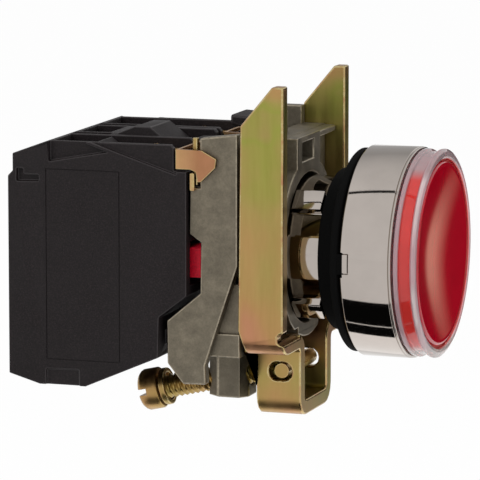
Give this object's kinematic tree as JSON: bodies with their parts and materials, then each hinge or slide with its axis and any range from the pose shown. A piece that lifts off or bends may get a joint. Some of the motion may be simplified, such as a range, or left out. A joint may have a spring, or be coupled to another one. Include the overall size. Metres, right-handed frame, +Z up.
{
  "type": "industrial push button",
  "caption": "Panel push button with a chromed bezel, red dished lens, clear guard ring, clamp collar with a bent stirrup, and contact and lamp blocks with screw terminals.",
  "frame": {"origin": "on the button's axis, in the plane of the panel's front face, which is the gasket flange's rear face", "axes": "+X out of the panel towards the operator along the button's axis, +Z up, +Y across the blocks towards the far contact block"},
  "size_m": [0.0579, 0.03, 0.048],
  "materials": {
    "chrome": "bright plated",
    "rubber": "matt moulded",
    "clear": "clear moulded",
    "red_lens": "translucent glossy",
    "white_plastic": "satin moulded",
    "black_plastic": "fine moulded texture",
    "die_cast": null,
    "yellow_zinc": "yellow passivated zinc",
    "spring_steel": "bright",
    "red_plastic": "satin moulded",
    "green_plastic": "satin moulded",
    "brass": "rolled strip",
    "copper": "rolled copper alloy strip",
    "board_green": "coated laminate",
    "lamp_clear": "clear cast"
  },
  "bodies": {
    "base": {"bezel": "chrome", "collar": "die_cast", "far_dowel": "yellow_zinc", "gasket": "rubber", "guard_ring": "clear", "lamp": "lamp_clear", "lamp_board": "board_green", "lamp_cover": "black_plastic", "lamp_housing": "black_plastic", "lamp_lower_contact": "brass", "lamp_upper_contact": "brass", "nc_cover": "black_plastic", "nc_housing": "black_plastic", "nc_lower_contact": "brass", "nc_return_spring": "spring_steel", "nc_upper_contact": "brass", "near_dowel": "yellow_zinc", "neck": "chrome", "no_cover": "black_plastic", "no_housing": "black_plastic", "no_lower_contact": "brass", "no_return_spring": "spring_steel", "no_upper_contact": "brass", "return_spring": "spring_steel", "wiper_seal": "rubber"},
    "button": {"lens": "red_lens", "pusher": "white_plastic", "pusher_yoke": "black_plastic"},
    "nc_plunger": {"nc_plunger": "red_plastic", "nc_bridge": "copper", "nc_contact_spring": "spring_steel"},
    "no_plunger": {"no_plunger": "green_plastic", "no_contact_spring": "spring_steel"},
    "no_bridge": {"no_bridge": "copper"},
    "screw_washer": {"screw_washer": "yellow_zinc"},
    "clamp_screw": {"clamp_screw": "yellow_zinc"},
    "stirrup": {"stirrup": "yellow_zinc", "cross_pin": "yellow_zinc"},
    "nc_hook": {"nc_hook": "yellow_zinc"},
    "no_hook": {"no_hook": "yellow_zinc"},
    "lamp_latch": {"lamp_latch": "black_plastic"},
    "nc_upper_saddle": {"nc_upper_saddle": "yellow_zinc"},
    "nc_upper_screw": {"nc_upper_screw": "spring_steel"},
    "nc_lower_saddle": {"nc_lower_saddle": "yellow_zinc"},
    "nc_lower_screw": {"nc_lower_screw": "spring_steel"},
    "lamp_upper_saddle": {"lamp_upper_saddle": "yellow_zinc"},
    "lamp_upper_screw": {"lamp_upper_screw": "spring_steel"},
    "lamp_lower_saddle": {"lamp_lower_saddle": "yellow_zinc"},
    "lamp_lower_screw": {"lamp_lower_screw": "spring_steel"},
    "no_upper_saddle": {"no_upper_saddle": "yellow_zinc"},
    "no_upper_screw": {"no_upper_screw": "spring_steel"},
    "no_lower_saddle": {"no_lower_saddle": "yellow_zinc"},
    "no_lower_screw": {"no_lower_screw": "spring_steel"}
  },
  "joints": [
    {"name": "button_press", "type": "slide", "parent": "base", "child": "button", "axis": [-1, 0, 0], "range_m": [0, 0.0043], "stiffness_N_per_m": 400, "springref_m": -0.005, "deforming": ["return_spring", "nc_return_spring", "no_return_spring", "no_contact_spring"]},
    {"name": "nc_plunger_slide", "type": "slide", "parent": "base", "child": "nc_plunger", "axis": [-1, 0, 0], "range_m": [0, 0.0043]},
    {"name": "no_plunger_slide", "type": "slide", "parent": "base", "child": "no_plunger", "axis": [-1, 0, 0], "range_m": [0, 0.0043]},
    {"name": "no_bridge_slide", "type": "slide", "parent": "base", "child": "no_bridge", "axis": [-1, 0, 0], "range_m": [0, 0.0024]},
    {"name": "washer_slide", "type": "slide", "parent": "base", "child": "screw_washer", "axis": [0.9744, 0, 0.225], "range_m": [0, 0.005]},
    {"name": "clamp_screw_turn", "type": "hinge", "parent": "screw_washer", "child": "clamp_screw", "pos_m": [-0.00915, 0, -0.0164], "axis": [0.9744, 0, 0.225], "range_deg": [0, 2251]},
    {"name": "stirrup_slide", "type": "slide", "parent": "base", "child": "stirrup", "axis": [1, 0, 0], "range_m": [0, 0.00487]},
    {"name": "nc_hook_lift", "type": "hinge", "parent": "base", "child": "nc_hook", "pos_m": [-0.02705, -0.01, 0.01375], "axis": [0, -1, 0], "range_deg": [0, 15], "stiffness_Nm_per_rad": 0.05, "springref_deg": -5.73},
    {"name": "no_hook_lift", "type": "hinge", "parent": "base", "child": "no_hook", "pos_m": [-0.02705, 0.01, 0.01375], "axis": [0, -1, 0], "range_deg": [0, 15], "stiffness_Nm_per_rad": 0.05, "springref_deg": -5.73},
    {"name": "lamp_latch_lift", "type": "hinge", "parent": "base", "child": "lamp_latch", "pos_m": [-0.02305, 0, 0.01365], "axis": [0, -1, 0], "range_deg": [0, 15], "stiffness_Nm_per_rad": 0.05, "springref_deg": -5.73},
    {"name": "nc_upper_saddle_slide", "type": "slide", "parent": "base", "child": "nc_upper_saddle", "axis": [1, 0, 0], "range_m": [0, 0.0024]},
    {"name": "nc_upper_screw_turn", "type": "hinge", "parent": "nc_upper_saddle", "child": "nc_upper_screw", "pos_m": [-0.04165, -0.01, 0.00855], "axis": [1, 0, 0], "range_deg": [0, 1441]},
    {"name": "nc_lower_saddle_slide", "type": "slide", "parent": "base", "child": "nc_lower_saddle", "axis": [1, 0, 0], "range_m": [0, 0.0024]},
    {"name": "nc_lower_screw_turn", "type": "hinge", "parent": "nc_lower_saddle", "child": "nc_lower_screw", "pos_m": [-0.04165, -0.01, -0.01065], "axis": [1, 0, 0], "range_deg": [0, 1441]},
    {"name": "lamp_upper_saddle_slide", "type": "slide", "parent": "base", "child": "lamp_upper_saddle", "axis": [1, 0, 0], "range_m": [0, 0.0024]},
    {"name": "lamp_upper_screw_turn", "type": "hinge", "parent": "lamp_upper_saddle", "child": "lamp_upper_screw", "pos_m": [-0.04165, 0, 0.00855], "axis": [1, 0, 0], "range_deg": [0, 1441]},
    {"name": "lamp_lower_saddle_slide", "type": "slide", "parent": "base", "child": "lamp_lower_saddle", "axis": [1, 0, 0], "range_m": [0, 0.0024]},
    {"name": "lamp_lower_screw_turn", "type": "hinge", "parent": "lamp_lower_saddle", "child": "lamp_lower_screw", "pos_m": [-0.04165, 0, -0.01065], "axis": [1, 0, 0], "range_deg": [0, 1441]},
    {"name": "no_upper_saddle_slide", "type": "slide", "parent": "base", "child": "no_upper_saddle", "axis": [1, 0, 0], "range_m": [0, 0.0024]},
    {"name": "no_upper_screw_turn", "type": "hinge", "parent": "no_upper_saddle", "child": "no_upper_screw", "pos_m": [-0.04165, 0.01, 0.00855], "axis": [1, 0, 0], "range_deg": [0, 1441]},
    {"name": "no_lower_saddle_slide", "type": "slide", "parent": "base", "child": "no_lower_saddle", "axis": [1, 0, 0], "range_m": [0, 0.0024]},
    {"name": "no_lower_screw_turn", "type": "hinge", "parent": "no_lower_saddle", "child": "no_lower_screw", "pos_m": [-0.04165, 0.01, -0.01065], "axis": [1, 0, 0], "range_deg": [0, 1441]}
  ],
  "couplings": [
    {"joint": "nc_plunger_slide", "follows": "button_press", "ratio": 1},
    {"joint": "no_plunger_slide", "follows": "button_press", "ratio": 1},
    {"joint": "no_bridge_slide", "follows": "button_press", "ratio": 0.55814},
    {"joint": "clamp_screw_turn", "follows": "washer_slide", "rad_per_m": 7854},
    {"joint": "stirrup_slide", "follows": "washer_slide", "ratio": 0.97437},
    {"joint": "nc_upper_screw_turn", "follows": "nc_upper_saddle_slide", "rad_per_m": 10472},
    {"joint": "nc_lower_screw_turn", "follows": "nc_lower_saddle_slide", "rad_per_m": 10472},
    {"joint": "lamp_upper_screw_turn", "follows": "lamp_upper_saddle_slide", "rad_per_m": 10472},
    {"joint": "lamp_lower_screw_turn", "follows": "lamp_lower_saddle_slide", "rad_per_m": 10472},
    {"joint": "no_upper_screw_turn", "follows": "no_upper_saddle_slide", "rad_per_m": 10472},
    {"joint": "no_lower_screw_turn", "follows": "no_lower_saddle_slide", "rad_per_m": 10472}
  ]
}
